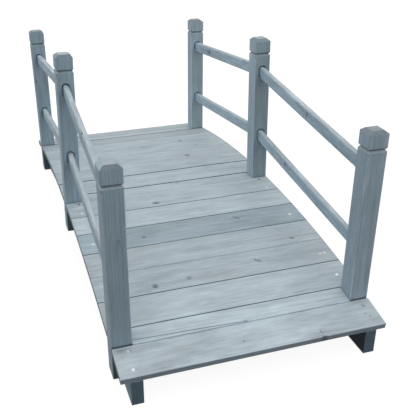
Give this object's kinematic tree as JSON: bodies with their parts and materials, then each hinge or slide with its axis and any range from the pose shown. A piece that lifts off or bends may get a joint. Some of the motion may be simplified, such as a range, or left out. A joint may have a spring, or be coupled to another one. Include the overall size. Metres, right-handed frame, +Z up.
{
  "type": "wooden footbridge",
  "caption": "Low arched wooden footbridge with a plank deck on bowed stringers, square grooved posts and sloping side rails, for crossing a ditch or a garden bed.",
  "frame": {"origin": "on the ground under the middle of the bridge", "axes": "+X across the bridge to the right, +Y along it from the front step to the back, +Z up"},
  "size_m": [0.6734, 1.536, 0.6217],
  "materials": {
    "frame_wood": "blue-grey stain, matt",
    "post_wood": "blue-grey stain, matt",
    "rail_wood": "blue-grey stain, matt",
    "deck_wood": "blue-grey stain, matt"
  },
  "bodies": {
    "root": {"left_stringer": "frame_wood", "right_stringer": "frame_wood", "front_cross_rail": "frame_wood", "middle_cross_rail": "frame_wood", "back_cross_rail": "frame_wood", "front_left_post": "post_wood", "front_right_post": "post_wood", "middle_left_post": "post_wood", "middle_right_post": "post_wood", "back_left_post": "post_wood", "back_right_post": "post_wood", "front_left_lower_rail": "rail_wood", "front_left_upper_rail": "rail_wood", "front_right_lower_rail": "rail_wood", "front_right_upper_rail": "rail_wood", "back_left_lower_rail": "rail_wood", "back_left_upper_rail": "rail_wood", "back_right_lower_rail": "rail_wood", "back_right_upper_rail": "rail_wood", "front_step_board": "deck_wood", "back_step_board": "deck_wood", "front_filler_board": "deck_wood", "middle_filler_board": "deck_wood", "back_filler_board": "deck_wood", "deck_board_01": "deck_wood", "deck_board_02": "deck_wood", "deck_board_03": "deck_wood", "deck_board_04": "deck_wood", "deck_board_05": "deck_wood", "deck_board_06": "deck_wood", "deck_board_07": "deck_wood", "deck_board_08": "deck_wood", "deck_board_09": "deck_wood", "deck_board_10": "deck_wood", "deck_board_11": "deck_wood", "deck_board_12": "deck_wood"}
  },
  "joints": []
}
